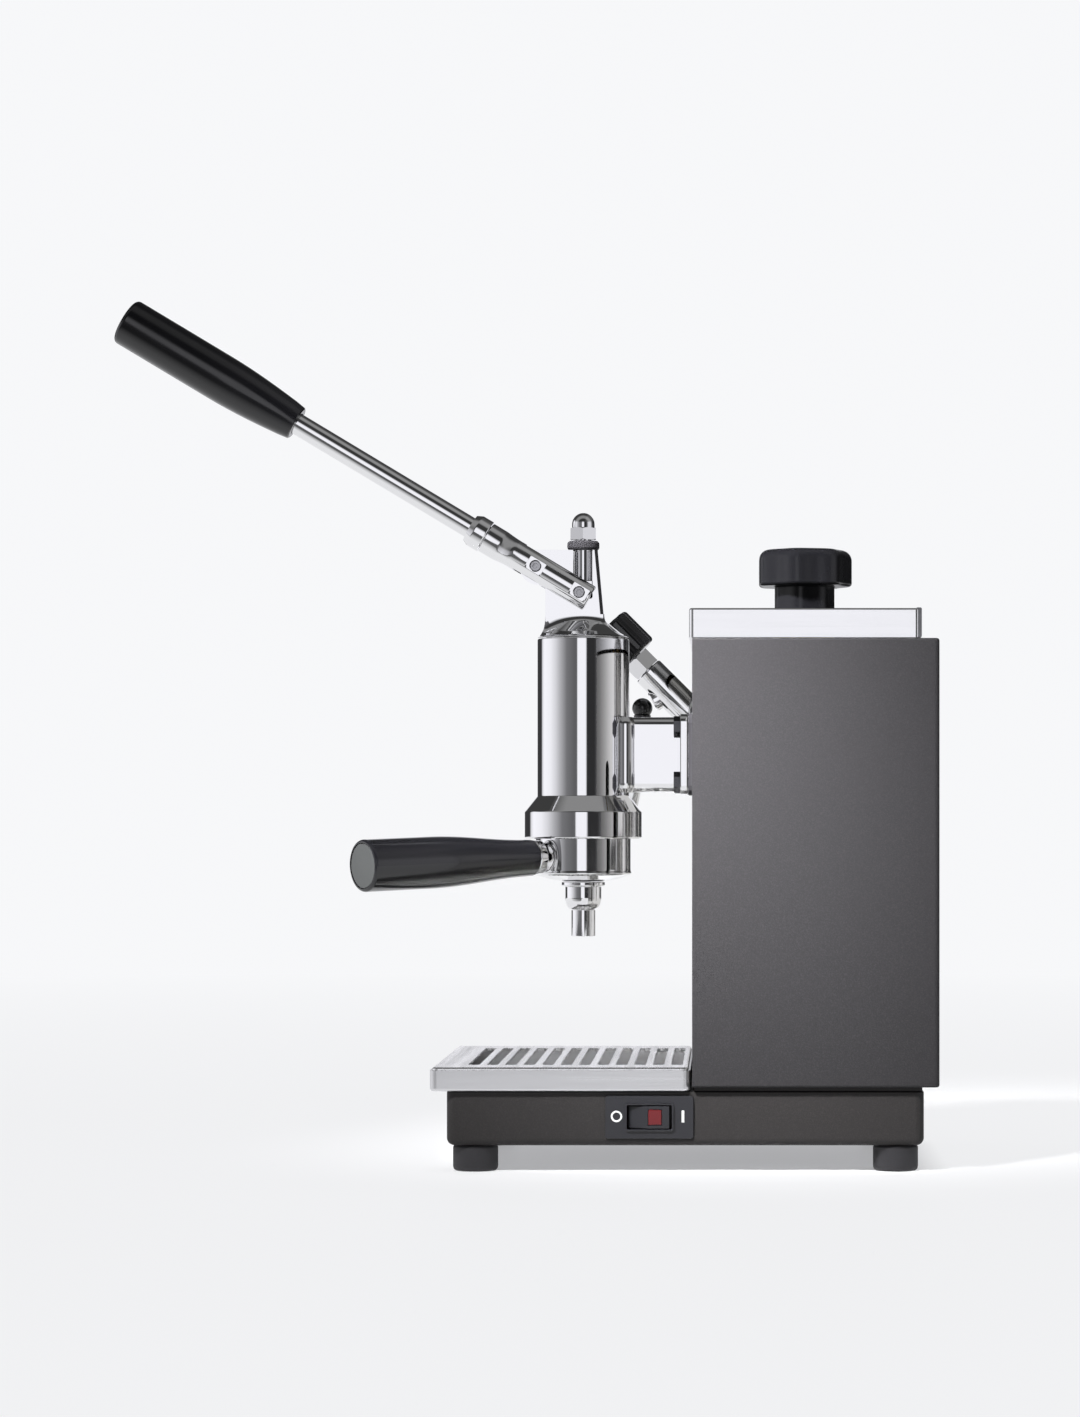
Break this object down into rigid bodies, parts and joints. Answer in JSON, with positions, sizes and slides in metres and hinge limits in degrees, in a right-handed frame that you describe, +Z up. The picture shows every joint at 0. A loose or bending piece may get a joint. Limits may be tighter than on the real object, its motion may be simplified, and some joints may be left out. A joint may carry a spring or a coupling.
{
  "type": "lever espresso machine",
  "caption": "Upright one-group espresso machine with a long spring lever, locking filter holder, swinging steam wand, boiler with screw cap, and a slotted drip tray on a low base.",
  "frame": {"origin": "Under the middle of the machine's extents, on the surface it stands on, with the lever up.", "axes": "+Z up. The front, with lever, group and tray, faces -Y. +X is the right of the person who stands at the front."},
  "size_m": [0.2, 0.4518, 0.4742],
  "materials": {
    "chrome": "polished chrome plate",
    "satin": "satin stainless sheet",
    "coat": "dark grey powder coat",
    "base_coat": "darker grey powder coat",
    "black": "glossy black phenolic",
    "rubber": "matt black rubber",
    "plastic": "fine black moulding",
    "red": "translucent red lens",
    "brass": "plain brass",
    "copper": "plain copper tube",
    "steel": "plain machined steel",
    "glass": "clear drawn tube",
    "seal": "red silicone",
    "disc": "grey end disc"
  },
  "bodies": {
    "machine": {"base_pan": "base_coat", "bottom_plate": "steel", "foot_front_left": "rubber", "foot_front_right": "rubber", "foot_rear_left": "rubber", "foot_rear_right": "rubber", "chassis_plate": "base_coat", "housing_wrap": "coat", "front_panel": "satin", "top_lid": "satin", "boiler_shell": "brass", "heating_element": "steel", "pressure_switch": "plastic", "safety_valve": "brass", "steam_pipe": "copper", "sight_glass": "glass", "sight_fitting_lower": "chrome", "sight_fitting_upper": "chrome", "group_body": "chrome", "lever_bracket": "chrome", "group_gasket": "seal", "flange_bolt_1": "steel", "flange_bolt_2": "steel", "flange_bolt_3": "steel", "flange_bolt_4": "steel", "shower_screen": "steel", "bell_gasket": "seal", "steam_valve_body": "chrome", "gland_nut": "chrome", "switch_frame": "plastic", "mains_inlet": "plastic", "piston_spring": "steel"},
    "lever": {"lever_fork": "chrome", "lever_collar": "chrome", "lever_rod": "chrome", "lever_handle": "black", "fulcrum_pin": "steel", "crosshead_pin": "steel"},
    "piston": {"piston": "brass", "piston_seal": "seal", "piston_rod": "chrome", "bumper_ring": "rubber", "acorn_nut": "chrome"},
    "filter_holder": {"portafilter_body": "chrome", "filter_basket": "steel", "portafilter_ferrule": "chrome", "portafilter_handle": "black", "handle_end_disc": "disc", "spout": "chrome"},
    "steam_knob": {"steam_knob": "black", "valve_spindle": "steel"},
    "wand": {"wand_grip": "black", "steam_wand": "chrome"},
    "cap_seal": {"cap_gasket": "seal"},
    "cap": {"boiler_cap": "black"},
    "rocker": {"switch_rocker": "plastic", "switch_lamp": "red"},
    "tray": {"drip_tray": "satin"},
    "grate": {"drip_grate": "satin"}
  },
  "joints": [
    {"name": "lever_pull", "type": "hinge", "parent": "machine", "child": "lever", "pos_m": [0, 0.00801, 0.3267], "axis": [1, 0, 0], "range_deg": [0, 62], "stiffness_Nm_per_rad": 6, "springref_deg": -28.65},
    {"name": "piston_slide", "type": "slide", "parent": "machine", "child": "piston", "axis": [0, 0, 1], "range_m": [0, 0.02885], "deforming": ["piston_spring"]},
    {"name": "filter_holder_turn", "type": "hinge", "parent": "machine", "child": "filter_holder", "pos_m": [0, 0.03401, 0.18], "axis": [0, 0, -1], "range_deg": [0, 60]},
    {"name": "steam_knob_turn", "type": "hinge", "parent": "machine", "child": "steam_knob", "pos_m": [-0.055, 0.09521, 0.2453], "axis": [0, -0.7071, 0.7071], "range_deg": [0, 360]},
    {"name": "wand_swing", "type": "hinge", "parent": "machine", "child": "wand", "pos_m": [-0.055, 0.06548, 0.25044], "axis": [0, 0, 1], "range_deg": [-25, 60]},
    {"name": "cap_lift", "type": "slide", "parent": "machine", "child": "cap_seal", "axis": [0, 0, 1], "range_m": [0, 0.045]},
    {"name": "cap_turn", "type": "hinge", "parent": "cap_seal", "child": "cap", "pos_m": [0, 0.15631, 0.3], "axis": [0, 0, 1], "range_deg": [0, 360]},
    {"name": "rocker_tilt", "type": "hinge", "parent": "machine", "child": "rocker", "pos_m": [0.0938, 0.07261, 0.02925], "axis": [0, 0, 1], "range_deg": [0, 16]},
    {"name": "drip_tray_slide", "type": "slide", "parent": "machine", "child": "tray", "axis": [0, -1, 0], "range_m": [0, 0.12]},
    {"name": "grate_lift", "type": "slide", "parent": "tray", "child": "grate", "axis": [0, 0, 1], "range_m": [0, 0.03]}
  ],
  "couplings": [
    {"joint": "piston_slide", "follows": "lever_pull", "m_per_rad": 0.026654}
  ]
}
